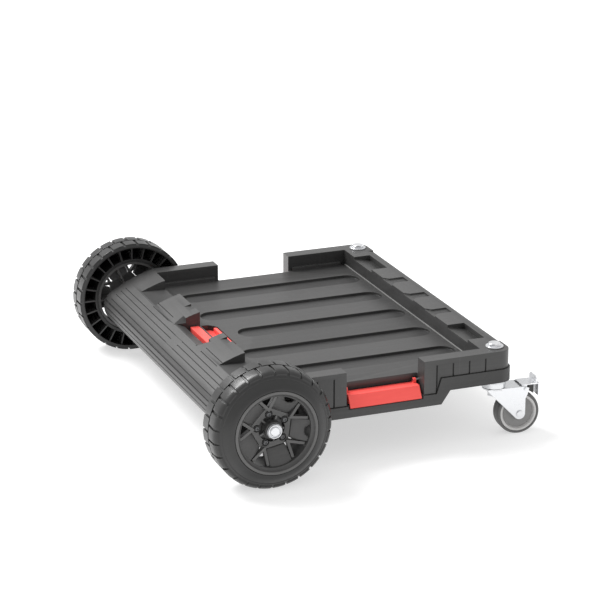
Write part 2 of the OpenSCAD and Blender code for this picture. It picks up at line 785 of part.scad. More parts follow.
module right_swivel_balls() { swivel_balls(right); }
module left_swivel_balls() { swivel_balls(left); }

module fork_leg() {
    across([fork_half - plate_t, fork_half]) {
        polygon([[-16, fork_top], [pedal_x - 2, fork_top], [trail + 16.5, fork_top - 3.5],
            [trail + 14, fork_top - 14], [trail + lobe_r, fork_top - 22],
            [trail + lobe_r, caster_r], [trail - 7.2, caster_r - 7.2], [-16, fork_top - 3.5]]);
        translate([trail, caster_r]) circle(lobe_r);
    }
}

module fork(side) {
    color([0.8, 0.81, 0.83]) at_caster(side) difference() {
        union() {
            translate([0, 0, fork_top - plate_t]) cylinder(h = plate_t, r = fork_half + 2);
            span([0, trail + 0.5], [-fork_half, fork_half], [fork_top - plate_t, fork_top]);
            both_sides() fork_leg();
        }
        translate([0, 0, fork_top - 10]) cylinder(h = 20, r = kingpin_r + part_gap);
        translate([trail, 0, caster_r]) rotate([90, 0, 0])
            cylinder(h = 80, r = caster_axle_d / 2 + fix_gap, center = true);
        translate([pedal_x, 0, pedal_z]) rotate([90, 0, 0])
            cylinder(h = 80, r = pedal_pin_r + fix_gap, center = true);
    }
}

module right_fork() { fork(right); }
module left_fork() { fork(left); }

module at_caster_axle(side, z) {
    at_caster(side) translate([trail, 0, caster_r]) rotate([90, 0, 0])
        translate([0, 0, z]) children();
}

module caster_axle(side) {
    color([0.78, 0.79, 0.81]) {
        at_caster_axle(side, -fork_half - 7.5)
            cylinder(h = 2 * fork_half + 8.5, d = caster_axle_d);
        at_caster_axle(side, fork_half) cylinder(h = 2.6, r = 6);
    }
}

module right_caster_axle() { caster_axle(right); }
module left_caster_axle() { caster_axle(left); }

module axle_nut(side) {
    color([0.72, 0.73, 0.75]) at_caster_axle(side, -fork_half - 6.5) difference() {
        hexagon(13, 6.5);
        translate([0, 0, -1]) cylinder(h = 9, r = caster_axle_d / 2 + fix_gap);
    }
}

module right_axle_nut() { axle_nut(right); }
module left_axle_nut() { axle_nut(left); }

module spacer(side) {
    color([0.7, 0.71, 0.73]) at_caster_axle(side, plate_t - fork_half)
        ring(2 * (fork_half - plate_t), sleeve_r, caster_axle_d / 2 + fix_gap);
}

module right_spacer() { spacer(right); }
module left_spacer() { spacer(left); }

module caster_hub(side) {
    seat_r = caster_r - 5;
    half = caster_w / 2;
    bore = sleeve_r + run_gap;
    boss = fork_half - plate_t - part_gap;
    color([0.55, 0.56, 0.58]) at_caster_axle(side, 0) rotate_extrude($fn = 72) polygon([
        [bore, -boss], [12, -boss], [14, 4 - half], [seat_r - 6, 5 - half],
        [seat_r - 3.5, 1 - half], [seat_r, 1 - half], [seat_r, half - 1],
        [seat_r - 3.5, half - 1], [seat_r - 6, half - 5], [14, half - 4], [12, boss], [bore, boss]]);
}

module right_caster_hub() { caster_hub(right); }
module left_caster_hub() { caster_hub(left); }

module caster_tyre(side) {
    seat_r = caster_r - 5 + fix_gap;
    half = caster_w / 2;
    e = caster_edge_r;
    color([0.33, 0.34, 0.36]) at_caster_axle(side, 0) rotate_extrude($fn = 72) union() {
        translate([seat_r, 1 - half]) square([caster_r - e - seat_r, 2 * half - 2]);
        translate([caster_r - e, e - half]) square([e, 2 * (half - e)]);
        intersection() {
            for (s = [-1, 1]) translate([caster_r - e, s * (half - e)]) circle(e);
            translate([seat_r, -half]) square([e + 4, 2 * half]);
        }
    }
}

module right_caster_tyre() { caster_tyre(right); }
module left_caster_tyre() { caster_tyre(left); }

module brake_pedal(side) {
    color([0.8, 0.81, 0.83]) at_caster(side) difference() {
        union() {
            span([trail + 3, pedal_end], [-ear_half, ear_half], [pedal_top - 2, pedal_top]);
            span([pedal_end - plate_t, pedal_end], [-ear_half, ear_half],
                [caster_r + 28.5, pedal_top]);
            along([pedal_end - 7, pedal_end - 7 + plate_t])
                polygon([[-ear_half, pedal_top - 1], [ear_half, pedal_top - 1],
                    [ear_half, tab_top - 4], [ear_half - 4, tab_top], [4 - ear_half, tab_top],
                    [-ear_half, tab_top - 4]]);
            both_sides() across([ear_half - plate_t, ear_half])
                polygon([[pedal_x - 5, pedal_top - 1], [pedal_x + 5, pedal_top - 1],
                    [pedal_x + 4, pedal_z - 3.5], [pedal_x - 4, pedal_z - 3.5]]);
        }
        translate([pedal_x, 0, pedal_z]) rotate([90, 0, 0])
            cylinder(h = 80, r = pedal_pin_r + run_gap, center = true);
    }
}

module right_brake_pedal() { brake_pedal(right); }
module left_brake_pedal() { brake_pedal(left); }

module brake_shoe(side) {
    color([0.12, 0.12, 0.12]) at_caster(side) difference() {
        span([shoe_x - shoe_half, shoe_x + shoe_half], [-9, 9], [caster_r + 20, pedal_top - 2]);
        translate([trail, 0, caster_r]) rotate([90, 0, 0])
            cylinder(h = 40, r = shoe_r, center = true);
    }
}

module right_brake_shoe() { brake_shoe(right); }
module left_brake_shoe() { brake_shoe(left); }

module pedal_pin(side) {
    half = fork_half + 1.2;
    color([0.7, 0.71, 0.73]) at_caster(side) translate([pedal_x, half, pedal_z])
        rotate([90, 0, 0]) cylinder(h = 2 * half, r = pedal_pin_r);
}

module right_pedal_pin() { pedal_pin(right); }
module left_pedal_pin() { pedal_pin(left); }

deck_tray();
lower_frame();
axle_housing();
rear_axle();
tray_screws();
housing_screws();
axle_washers();
axle_caps();
latch_pins();
rear_latch();
right_latch();
left_latch();
right_tyre();
left_tyre();
right_rim();
left_rim();
right_hub_bush();
left_hub_bush();
right_hub_screws();
left_hub_screws();
caster_bolts();
caster_washers();
caster_nuts();
right_caster_head();
left_caster_head();
right_fork();
left_fork();
right_swivel_balls();
left_swivel_balls();
right_caster_axle();
left_caster_axle();
right_axle_nut();
left_axle_nut();
right_spacer();
left_spacer();
right_caster_hub();
left_caster_hub();
right_caster_tyre();
left_caster_tyre();
right_brake_pedal();
left_brake_pedal();
right_brake_shoe();
left_brake_shoe();
right_pedal_pin();
left_pedal_pin();
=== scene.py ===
import math

import bpy
from mathutils import Matrix, Vector


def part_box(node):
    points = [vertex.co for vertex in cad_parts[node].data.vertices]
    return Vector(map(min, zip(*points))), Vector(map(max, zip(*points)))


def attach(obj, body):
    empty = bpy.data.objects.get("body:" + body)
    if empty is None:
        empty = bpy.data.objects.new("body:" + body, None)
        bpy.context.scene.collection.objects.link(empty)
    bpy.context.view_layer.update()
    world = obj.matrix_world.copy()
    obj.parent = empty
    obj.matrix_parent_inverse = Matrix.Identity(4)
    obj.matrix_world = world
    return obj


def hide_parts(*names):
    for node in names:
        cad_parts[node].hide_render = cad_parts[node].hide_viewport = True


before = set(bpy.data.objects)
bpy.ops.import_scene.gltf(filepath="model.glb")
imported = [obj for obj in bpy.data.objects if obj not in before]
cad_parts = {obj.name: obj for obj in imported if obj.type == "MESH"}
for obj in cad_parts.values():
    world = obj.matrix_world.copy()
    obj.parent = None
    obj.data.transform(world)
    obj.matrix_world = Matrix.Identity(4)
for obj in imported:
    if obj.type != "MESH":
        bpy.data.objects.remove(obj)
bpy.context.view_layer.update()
MM = 0.001


# ---- Deck tray -------------------------------------------------------------------------------
# The loading deck with its walls and front rail, injection moulded in one shot from charcoal
# polypropylene with a fine grained skin. Mould edges are rounded and painted paler, partly as
# wear rubbed by handling and partly as a painted highlight.

def clear():
    """Leaves edit mode and selects nothing."""
    if bpy.context.object and bpy.context.object.mode != "OBJECT":
        bpy.ops.object.mode_set(mode="OBJECT")
    bpy.ops.object.select_all(action="DESELECT")


def take(piece):
    """Makes one piece the active, selected one."""
    clear()
    piece.select_set(True)
    bpy.context.view_layer.objects.active = piece


def apply(piece, kind, **settings):
    """Adds a modifier with these settings and applies it."""
    take(piece)
    step = piece.modifiers.new(kind.title(), kind)
    for name, value in settings.items():
        setattr(step, name, value)
    bpy.ops.object.modifier_apply(modifier=step.name)


def edges_rounded(piece, radius, steps=2, over=28):
    """Rounds every edge sharper than an angle and evens out the shading of the flats."""
    apply(piece, "BEVEL", width=radius, segments=steps, limit_method="ANGLE",
          angle_limit=math.radians(over), use_clamp_overlap=False, miter_outer="MITER_ARC")
    take(piece)
    bpy.ops.object.shade_smooth_by_angle(angle=math.radians(42))
    apply(piece, "WEIGHTED_NORMAL", weight=80, keep_sharp=True)


def from_the_mould(node, name):
    """A clean copy of a designed part: its triangles merged back into whole faces."""
    piece = bpy.data.objects.new(name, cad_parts[node].data.copy())
    bpy.context.scene.collection.objects.link(piece)
    piece.data.materials.clear()
    take(piece)
    bpy.ops.mesh.customdata_custom_splitnormals_clear()
    bpy.ops.object.mode_set(mode="EDIT")
    bpy.ops.mesh.select_all(action="SELECT")
    bpy.ops.mesh.remove_doubles(threshold=0.00001)
    bpy.ops.mesh.dissolve_limited(angle_limit=math.radians(0.6))
    bpy.ops.object.mode_set(mode="OBJECT")
    return piece


def paint_shade_in_grooves(piece, narrow, wide, painted_shade_finish):
    """Gives the long faces of the mould grooves, that wide in mm, a near-black finish: painted
    shade.
    """
    piece.data.materials.append(painted_shade_finish)
    for face in piece.data.polygons:
        points = [piece.data.vertices[i].co for i in face.vertices]
        length = max((a - b).length for a, b in zip(points, points[1:] + points[:1]))
        if length > 14 * MM and narrow * MM < face.area / length < wide * MM:
            face.material_index = len(piece.data.materials) - 1


class Shade:
    """One output of a finish's nodes, so that sums of patterns read as ordinary arithmetic."""

    def __init__(self, tree, out):
        self.tree = tree
        self.out = out

    def node(self, kind, settings=None, values=None, out=0):
        made = self.tree.nodes.new(kind)
        for name, value in (settings or {}).items():
            if name == "stops":
                while len(made.color_ramp.elements) < len(value):
                    made.color_ramp.elements.new(0.5)
                for stop, (place, level) in zip(made.color_ramp.elements, value):
                    stop.position = place
                    stop.color = (level, level, level, 1)
            else:
                setattr(made, name, value)
        for name, value in (values or {}).items():
            if isinstance(value, Shade):
                self.tree.links.new(value.out, made.inputs[name])
            else:
                made.inputs[name].default_value = value
        return Shade(self.tree, made.outputs[out])

    def sum(self, operation, a, b=0.0):
        return self.node("ShaderNodeMath", {"operation": operation}, {0: a, 1: b})

    def __add__(self, other):
        return self.sum("ADD", self, other)

    __radd__ = __add__

    def __sub__(self, other):
        return self.sum("SUBTRACT", self, other)

    def __rsub__(self, other):
        return self.sum("SUBTRACT", other, self)

    def __mul__(self, other):
        return self.sum("MULTIPLY", self, other)

    __rmul__ = __mul__

    def ramp(self, low, high):
        """0 below low, 1 above high, and a straight slope between them."""
        return self.node("ShaderNodeMapRange", {"clamp": True},
                         {"Value": self, "From Min": low, "From Max": high})

    def noise(self, scale, detail=2.0, stretch=(1, 1, 1)):
        """Cloudy pattern with about scale spots to a metre, drawn out along an axis."""
        place = self.node("ShaderNodeMapping", {}, {"Vector": self, "Scale": stretch})
        return self.node("ShaderNodeTexNoise", {}, {"Vector": place, "Scale": scale,
                                                    "Detail": detail})

    def mixed(self, dark, light):
        """A colour that goes from dark to light as this value goes from 0 to 1."""
        return self.node("ShaderNodeMix", {"data_type": "RGBA"},
                         {0: self, 6: dark, 7: light}, out=2)

    def relief(self, strength, depth):
        """A surface normal that follows this pattern, depth in metres."""
        return self.node("ShaderNodeBump", {}, {"Height": self, "Strength": strength,
                                                "Distance": depth})


def finish(name):
    """A new material: its place pattern, its mesh geometry and its shader."""
    made = bpy.data.materials.new(name)
    made.use_nodes = True
    tree = made.node_tree
    shader = tree.nodes["Principled BSDF"]
    place = Shade(tree, tree.nodes.new("ShaderNodeTexCoord").outputs["Object"])
    corner = Shade(tree, tree.nodes.new("ShaderNodeNewGeometry").outputs["Pointiness"])
    return made, shader, place, corner


def wire(shader, **values):
    """Sets or links the shader's sockets, with _ for a space in their names."""
    for name, value in values.items():
        socket = shader.inputs[name.replace("_", " ")]
        if isinstance(value, Shade):
            value.tree.links.new(value.out, socket)
        else:
            socket.default_value = value


def grey(level, warmth=0.0):
    """A grey of this level, redder as its warmth grows."""
    return (level * (1 + warmth), level, level * (1 - warmth), 1)


def moulded_plastic(name, level, rough, warmth=0.012, flow=1.0, seams=0.0):
    """Grained polypropylene: cloudy tone, faint flow lines along the shot, paler edges that are
    partly rubbed and partly a painted highlight, painted shade in the crevices, and the faint
    print of the blocks that the mould was built from."""
    made, shader, place, corner = finish(name)
    clouds = place.noise(9, 4)
    flow_lines = place.noise(14, 3, (1, 26, 26)) * flow
    dust = place.noise(160, 5).ramp(0.58, 0.8)
    edge = corner.ramp(0.52, 0.6)
    clear_of_painted_crevice_shade = corner.ramp(0.4, 0.49)
    grain = place.noise(2600, 2)
    print_of_blocks = place.node("ShaderNodeTexBrick", {"offset": 0.5}, {
        "Vector": place, "Scale": 1.0, "Mortar Size": 0.0007, "Brick Width": 0.15,
        "Row Height": 0.026}, out=1) * seams
    tone = clouds * 0.45 + flow_lines * 0.35 + dust * 0.2 + print_of_blocks * 0.3
    body = tone.mixed(grey(level * 0.5, warmth), grey(level * 1.6, warmth))
    # Painted shade: hollow crevices are coloured near-black.
    body = body.node("ShaderNodeMix", {"data_type": "RGBA"},
                     {0: clear_of_painted_crevice_shade, 6: grey(level * 0.18), 7: body}, out=2)
    # Convex edges are painted paler: partly rubbed wear, partly a painted highlight.
    rubbed_and_painted_highlight = (edge * (0.35 + clouds * 0.5)).mixed((0, 0, 0, 1), grey(level * 2.6, warmth))
    colour = body.node("ShaderNodeMix", {"data_type": "RGBA", "blend_type": "ADD"},
                       {0: 0.55, 6: body, 7: rubbed_and_painted_highlight}, out=2)
    wire(shader, Base_Color=colour, Roughness=rough + (clouds - 0.5) * 0.16 - edge * 0.1,
         Specular_IOR_Level=0.55,
         Normal=(grain * 0.7 + flow_lines * 0.5 + place.noise(420, 3) * 0.8
                 + print_of_blocks).relief(0.16, 0.0004))
    return made


deck_plastic = moulded_plastic("charcoal deck moulding", 0.03, 0.4, flow=1.3, seams=1.0)
charcoal = moulded_plastic("charcoal moulding", 0.032, 0.46)
# A near-black finish for the groove faces: painted shade.
painted_groove_shade = moulded_plastic("packed groove dirt", 0.006, 0.7)
tray = from_the_mould("deck_tray", "deck_tray_moulding")
tray.data.materials.append(deck_plastic)
# The deck's grooves are coloured near-black as painted shade.
paint_shade_in_grooves(tray, 0.7, 2.1, painted_groove_shade)
edges_rounded(tray, 0.8 * MM)
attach(tray, "chassis")
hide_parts("deck_tray")

# A thin bead runs along the foot of the front rail, coloured pale as a painted highlight
bead_size = Vector((2.2, 575, 3)) * MM
rail_foot = Vector((198.3, 0, 128.5)) * MM
clear()
bpy.ops.mesh.primitive_cube_add(size=1)
bead = bpy.context.object
bead.name = "rail_foot_bead"
bead.scale = bead_size
bead.location = rail_foot
bpy.ops.object.transform_apply(location=True, rotation=True, scale=True)
edges_rounded(bead, 0.7 * MM, 3)
# The bead's pale colour is a painted highlight.
bead.data.materials.append(moulded_plastic("rubbed bead", 0.1, 0.4))
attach(bead, "chassis")
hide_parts("deck_tray")


# ---- Lower frame -----------------------------------------------------------------------------
# The skirt and rib grid under the tray, from the same charcoal polypropylene as the tray, a
# little duller outside where the skirt was textured. Screws from below hold the two together.

skirt_plastic = moulded_plastic("skirt moulding", 0.025, 0.52)
skirt = from_the_mould("lower_frame", "lower_frame_moulding")
edges_rounded(skirt, 0.8 * MM)
skirt.data.materials.append(skirt_plastic)
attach(skirt, "chassis")
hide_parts("lower_frame")


# ---- Axle housing ----------------------------------------------------------------------------
# The round cover over the rear axle, moulded with grooves along its back, humps and pockets for
# the feet of the load, and a notch for the fingers. It is screwed to the rear of the tray.

housing = from_the_mould("axle_housing", "axle_housing_moulding")
housing.data.materials.append(charcoal)
# The housing's grooves are coloured near-black as painted shade.
paint_shade_in_grooves(housing, 0.9, 1.7, painted_groove_shade)
edges_rounded(housing, 0.3 * MM, over=26)
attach(housing, "chassis")
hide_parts("axle_housing")


# ---- Rear axle ------------------------------------------------------------------------------
# A drawn steel rod right across the cart, zinc plated, with a plain washer on each side of each
# wheel and a pressed cap pushed over each end. The plating is bright, with cloudy passivation.

def zinc(name, level=0.82, rough=0.22, brush=(1, 1, 1)):
    """Bright zinc plate: cloudy passivation, fine scratches, duller in the corners."""
    made, shader, place, corner = finish(name)
    clouds = place.noise(60, 4)
    scratch = place.noise(900, 3, brush)
    edge = corner.ramp(0.5, 0.6)
    colour = (clouds * 0.6 + scratch * 0.4).mixed((level * 0.78, level * 0.8, level * 0.83, 1),
                                                  (level, level, level * 1.01, 1))
    wire(shader, Base_Color=colour, Metallic=0.92 - clouds * 0.12,
         Roughness=rough + clouds * 0.14 + scratch * 0.08 - edge * 0.05,
         Normal=(scratch * 0.6 + clouds * 0.8).relief(0.1, 0.0003))
    return made


def turned(name, section, steps=96):
    """A round piece: its section, in mm from the axis and along it, drawn and spun about z."""
    clear()
    bpy.ops.mesh.primitive_plane_add(size=MM)
    piece = bpy.context.object
    piece.name = name
    bpy.ops.object.mode_set(mode="EDIT")
    bpy.ops.mesh.select_mode(type="VERT")
    bpy.ops.mesh.select_all(action="SELECT")
    bpy.ops.mesh.merge(type="CENTER")
    (r, h), rest = section[0], section[1:]
    bpy.ops.transform.translate(value=(r * MM, 0, h * MM))
    for next_r, next_h in rest:
        bpy.ops.mesh.extrude_vertices_move(TRANSFORM_OT_translate={
            "value": ((next_r - r) * MM, 0, (next_h - h) * MM)})
        r, h = next_r, next_h
    bpy.ops.mesh.select_all(action="SELECT")
    bpy.ops.mesh.spin(steps=steps, angle=math.tau, center=(0, 0, 0), axis=(0, 0, 1))
    bpy.ops.mesh.select_all(action="SELECT")
    bpy.ops.mesh.remove_doubles(threshold=0.000002)
    bpy.ops.mesh.normals_make_consistent(inside=False)
    bpy.ops.object.mode_set(mode="OBJECT")
    return piece


def set_down(piece, matrix):
    """Moves a finished piece to its place and leaves the place in its mesh."""
    take(piece)
    piece.matrix_world = matrix
    bpy.ops.object.transform_apply(location=True, rotation=True, scale=True)


def joined(first, *others):
    """Makes several meshes one piece, which keeps the first one's name."""
    take(first)
    for other in others:
        other.select_set(True)
    bpy.ops.object.join()
    return first


def copied(piece, matrix):
    """Another of the same piece, with its own mesh, turned or moved by the matrix."""
    twin = piece.copy()
    twin.data = piece.data.copy()
    bpy.context.scene.collection.objects.link(twin)
    set_down(twin, matrix)
    return twin


def dressed(piece, finish_of_it, body, slot, *nodes):
    """Gives a piece its finish, the body it rides on and the parts it stands for; slot is not
    used.
    """
    piece.data.materials.clear()
    piece.data.materials.append(finish_of_it)
    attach(piece, body)
    if nodes:
        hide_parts(*nodes)


plated = zinc("zinc plate")
drawn = zinc("drawn zinc rod", 0.8, 0.18, (1, 0.05, 1))
axle_low, axle_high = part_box("rear_axle")
axle_mid = (axle_low + axle_high) / 2
axle_r = (axle_high.z - axle_low.z) / 2 / MM
tyre_low, tyre_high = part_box("left_tyre")
tyre_in = tyre_low.y
tyre_w = (tyre_high.y - tyre_in) / MM
tyre_r = (tyre_high.z - tyre_low.z) / 2 / MM
side_sign = {"right": -1, "left": 1}


def wheel_place(side):
    """From a wheel lying on its inner side to its place on the axle, outer face outwards."""
    y = side_sign[side]
    return Matrix(((-y, 0, 0, axle_mid.x), (0, 0, y, y * tyre_in),
                   (0, 1, 0, axle_mid.z), (0, 0, 0, 1)))


rod_half = axle_high.y / MM
rod_chamfer = 1.2
rod = turned("rear_axle_rod", [
    (0, -rod_half), (axle_r - rod_chamfer, -rod_half), (axle_r, rod_chamfer - rod_half),
    (axle_r, rod_half - rod_chamfer), (axle_r - rod_chamfer, rod_half), (0, rod_half)], 64)
set_down(rod, Matrix.Translation(axle_mid) @ Matrix.Rotation(math.pi / 2, 4, "X"))
take(rod)
bpy.ops.object.shade_smooth_by_angle(angle=math.radians(30))
dressed(rod, drawn, "chassis", "zinc_plate", "rear_axle")

cap_low, cap_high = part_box("axle_caps")
cap_r = (cap_high.z - cap_low.z) / 2 / MM
cap_out = (cap_high.y - tyre_in) / MM
for side in side_sign:
    cap = turned(side + "_push_cap", [
        (axle_r + 0.1, cap_out - 3), (cap_r, cap_out - 3), (cap_r, cap_out - 0.8),
        (cap_r - 0.6, cap_out), (axle_r + 2.2, cap_out), (axle_r + 1.7, cap_out - 2.4),
        (axle_r + 0.1, cap_out - 2.4), (axle_r + 0.1, cap_out - 3)], 64)
    edges_rounded(cap, 0.25 * MM)
    set_down(cap, wheel_place(side))
    dressed(cap, plated, "chassis", "zinc_plate", "axle_caps")


# ---- Rear tyres ------------------------------------------------------------------------------
# Hard hollow tyres, each moulded in one piece with two staggered rows of blocks that wrap over
# the outer shoulder. Inside, radial ribs brace the tread against the collar that holds the rim.

BLOCKS = 26
STEPS_A_BLOCK = 6
TYRE_RIBS = 24
block_h = 3
base_r = tyre_r - block_h
rim_edge_r = 71
rows = ((1.4, 24), (27, 46))
side_bulge = 15
edge_z = tyre_w - side_bulge


def ring_faces(piece, low_r, high_r, low_z, high_z):
    """The faces whose centres lie between two radii and two heights, in mm."""
    found = []
    for face in piece.data.polygons:
        c = face.center / MM
        if low_r < math.hypot(c.x, c.y) < high_r and low_z < c.z < high_z:
            found.append(face)
    return found


def block_faces(faces, shift):
    """The numbers of the faces that belong to tread blocks, and not to the gaps after them."""
    chosen = []
    for face in faces:
        turn = math.atan2(face.center.y, face.center.x) / math.tau % 1
        if int(turn * BLOCKS * STEPS_A_BLOCK + shift) % STEPS_A_BLOCK < STEPS_A_BLOCK - 1:
            chosen.append(face.index)
    return chosen


def raise_blocks(piece, faces, grow, lift):
    """Raises the chosen faces as blocks, outwards from the axis and along it."""
    take(piece)
    bpy.ops.object.mode_set(mode="EDIT")
    bpy.ops.mesh.select_mode(type="FACE")
    bpy.ops.mesh.select_all(action="DESELECT")
    bpy.ops.object.mode_set(mode="OBJECT")
    for face in faces:
        piece.data.polygons[face].select = True
    bpy.ops.object.mode_set(mode="EDIT")
    bpy.ops.mesh.extrude_region_move()
    bpy.ops.transform.resize(value=(grow, grow, 1), center_override=(0, 0, 0))
    bpy.ops.transform.translate(value=(0, 0, lift * MM))
    bpy.ops.object.mode_set(mode="OBJECT")


def brace(name, size, place, turn):
    """A thin moulded rib with rounded edges: its size and middle in mm."""
    clear()
    bpy.ops.mesh.primitive_cube_add(size=1)
    rib = bpy.context.object
    rib.name = name
    matrix = (Matrix.Rotation(turn, 4, "Z") @ Matrix.Translation(Vector(place) * MM)
              @ Matrix.Diagonal((size[0] * MM, size[1] * MM, size[2] * MM, 1)))
    set_down(rib, matrix)
    return rib


tyre = turned("tyre", [
    (93, 0), (96, 0), (base_r, rows[0][0]), (base_r, rows[0][1]), (base_r, rows[1][0]),
    (base_r, rows[1][1]), (95.6, edge_z - 1), (92.6, edge_z + 1.6), (89.4, edge_z + 4.4),
    (88.4, edge_z + 4.2), (87.4, edge_z + 5), (82, edge_z + 10), (77, edge_z + 13),
    (72.6, tyre_w - 0.7), (rim_edge_r, tyre_w - 0.9), (rim_edge_r - 0.4, tyre_w - 4),
    (66, tyre_w - 5), (65.2, tyre_w - 6), (65.2, 6), (rim_edge_r, 6), (rim_edge_r, tyre_w - 9),
    (93, edge_z - 8), (93, 0)], BLOCKS * STEPS_A_BLOCK)
inner_row = block_faces(ring_faces(tyre, base_r - 1, base_r + 1, *rows[0]), 0)
raise_blocks(tyre, inner_row, tyre_r / base_r, 0)
outer_row = block_faces(ring_faces(tyre, base_r - 1, base_r + 1, *rows[1]), 3)
shoulder = block_faces(ring_faces(tyre, 93.5, base_r, rows[1][1], tyre_w), 3)
raise_blocks(tyre, outer_row + shoulder, tyre_r / base_r, 0)
edges_rounded(tyre, 0.6 * MM, over=32)
ribs = [brace("tyre_rib", (23, 2.6, 41), (82, 0, 24.5), math.tau * i / TYRE_RIBS)
        for i in range(TYRE_RIBS)]
tyre = joined(tyre, *ribs)

tyre_plastic = moulded_plastic("tyre moulding", 0.018, 0.36, flow=0.4)
for side in side_sign:
    piece = copied(tyre, wheel_place(side))
    piece.name = side + "_tyre_moulding"
    dressed(piece, tyre_plastic, side + "_wheel", "wheel_tread", side + "_tyre")
bpy.data.objects.remove(tyre)


# ---- Rear rims -------------------------------------------------------------------------------
# Each rim is one charcoal moulding: a barrel with a rounded lip, a sunk five sided hub plate, and
# five broad blocks that rise from its sides to the barrel, with a window at each of its corners.

PANELS = 5
corner_a = math.radians(101)
plate_z = tyre_w - 25
plate_r = 38.5
screw_ring_r = 25
barrel_r = 60
block_root_r = 31.6
block_end_r = 62.5
scallop_r = 11.5
web_root_r = 34.5
web_shift = 14


def around(i, offset=0.0):
    """Turns a piece made along x to the i-th corner of the hub plate, or between two corners."""
    return Matrix.Rotation(corner_a + math.tau * (i + offset) / PANELS, 4, "Z")


barrel = turned("rim", [
    (barrel_r, 8), (64.8, 8), (64.8, tyre_w - 6.5), (66.5, tyre_w - 3.5), (70.2, tyre_w - 2.1),
    (70.6, tyre_w - 1.6), (70, tyre_w - 1.2), (66.8, tyre_w - 1.2), (65.2, tyre_w - 1.6),
    (64.2, tyre_w - 3.5), (62, tyre_w - 5.5), (barrel_r, tyre_w - 6.5), (barrel_r, 8)], 128)
edges_rounded(barrel, 0.5 * MM)

hub_tube = turned("hub_tube", [
    (11.2, -2), (15, -2), (15, plate_z + 10), (14.4, plate_z + 11.4), (13, plate_z + 12),
    (12.6, plate_z + 11), (11.2, plate_z + 11), (11.2, -2)], 72)
edges_rounded(hub_tube, 0.3 * MM)

clear()
bpy.ops.mesh.primitive_cylinder_add(vertices=PANELS, radius=plate_r * MM, depth=8 * MM,
                                    location=(0, 0, (plate_z - 4) * MM))
plate = bpy.context.object
plate.name = "hub_plate"
start = math.atan2(plate.data.vertices[0].co.y, plate.data.vertices[0].co.x)
set_down(plate, Matrix.Rotation(corner_a - start, 4, "Z") @ plate.matrix_world)
recess = turned("recess", [(0, plate_z - 7.5), (21.5, plate_z - 7.5), (22.3, plate_z + 2),
                           (0, plate_z + 2), (0, plate_z - 5.5)], 72)
moat = turned("moat", [(4.9, plate_z - 3), (6.3, plate_z - 3), (6.3, plate_z + 2),
                       (4.9, plate_z + 2), (4.9, plate_z - 3)], 32)
boss = turned("boss", [(0, plate_z - 6), (4.9, plate_z - 6), (4.9, plate_z - 0.5),
                       (4.5, plate_z - 0.1), (0, plate_z - 0.1), (0, plate_z - 6)], 32)
to_screw = Matrix.Translation((screw_ring_r * MM, 0, 0))
moats = [copied(moat, around(i) @ to_screw) for i in range(PANELS)]
bosses = [copied(boss, around(i) @ to_screw) for i in range(PANELS)]
for cutter in [recess] + moats:
    apply(plate, "BOOLEAN", operation="DIFFERENCE", object=cutter, solver="EXACT")
for spent in [recess, moat, boss] + moats:
    bpy.data.objects.remove(spent)
edges_rounded(plate, 0.8 * MM, over=35)


def panel(scalloped):
    """A block from one side of the hub plate out to the barrel, made lying along x."""
    clear()
    bpy.ops.mesh.primitive_grid_add(x_subdivisions=8, y_subdivisions=6, size=2)
    block = bpy.context.object
    block.name = "rim_block"
    for corner in block.data.vertices:
        u = (corner.co.x + 1) / 2
        v = corner.co.y
        half = 17.3 + 1.6 * u - 1.6 * max(0.0, 0.2 - u) / 0.2
        out = math.sqrt(block_end_r ** 2 - (half * v) ** 2)
        x = block_root_r + (out - block_root_r) * u
        if scalloped and u > 0.7:
            x = min(x, block_end_r - math.sqrt(max(0.0, scallop_r ** 2 - (half * v) ** 2)))
        rise = 1 + 14.5 * u ** 0.85 - 1.2 * abs(v) ** 4
        corner.co = Vector((x, half * v, plate_z + rise)) * MM
    bpy.ops.object.mode_set(mode="EDIT")
    bpy.ops.mesh.select_all(action="SELECT")
    bpy.ops.mesh.extrude_region_move(TRANSFORM_OT_translate={"value": (0, 0, -9 * MM)})
    bpy.ops.mesh.select_all(action="SELECT")
    bpy.ops.mesh.normals_make_consistent(inside=False)
    bpy.ops.object.mode_set(mode="OBJECT")
    return block


plain_block = panel(False)
hollow_block = panel(True)
blocks = [copied(hollow_block if i in (0, 4) else plain_block, around(i, -0.5))
          for i in range(PANELS)]
for spent in (plain_block, hollow_block):
    bpy.data.objects.remove(spent)
for block in blocks:
    edges_rounded(block, 1.1 * MM, 3, 34)
lip = turned("rim_lip", [(65.4, tyre_w - 1.2), (70.4, tyre_w - 1.2), (70.2, tyre_w - 0.3),
                         (69.4, tyre_w), (66.4, tyre_w), (65.6, tyre_w - 0.3),
                         (65.4, tyre_w - 1.2)], 128)
edges_rounded(lip, 0.2 * MM, over=20)
webs = []
for i in range(PANELS):
    for lean in (-1, 1):
        web = brace("rim_web", (30, 4.8, 9), (0, 0, 0), 0)
        tilt = (Matrix.Translation(Vector((web_root_r, 0, plate_z + 1.5)) * MM)
                @ Matrix.Rotation(lean * math.radians(33), 4, "Z")
                @ Matrix.Rotation(math.radians(-14), 4, "Y")
                @ Matrix.Translation((web_shift * MM, 0, 0)))
        set_down(web, around(i) @ tilt)
        edges_rounded(web, 0.6 * MM)
        webs.append(web)
ribs = [brace("rim_rib", (46, 3, 22), (38, 0, plate_z - 12),
              corner_a + math.tau * (i + 0.5) / PANELS) for i in range(PANELS)]
rim = joined(barrel, hub_tube, plate, *bosses, *blocks, *webs, *ribs)
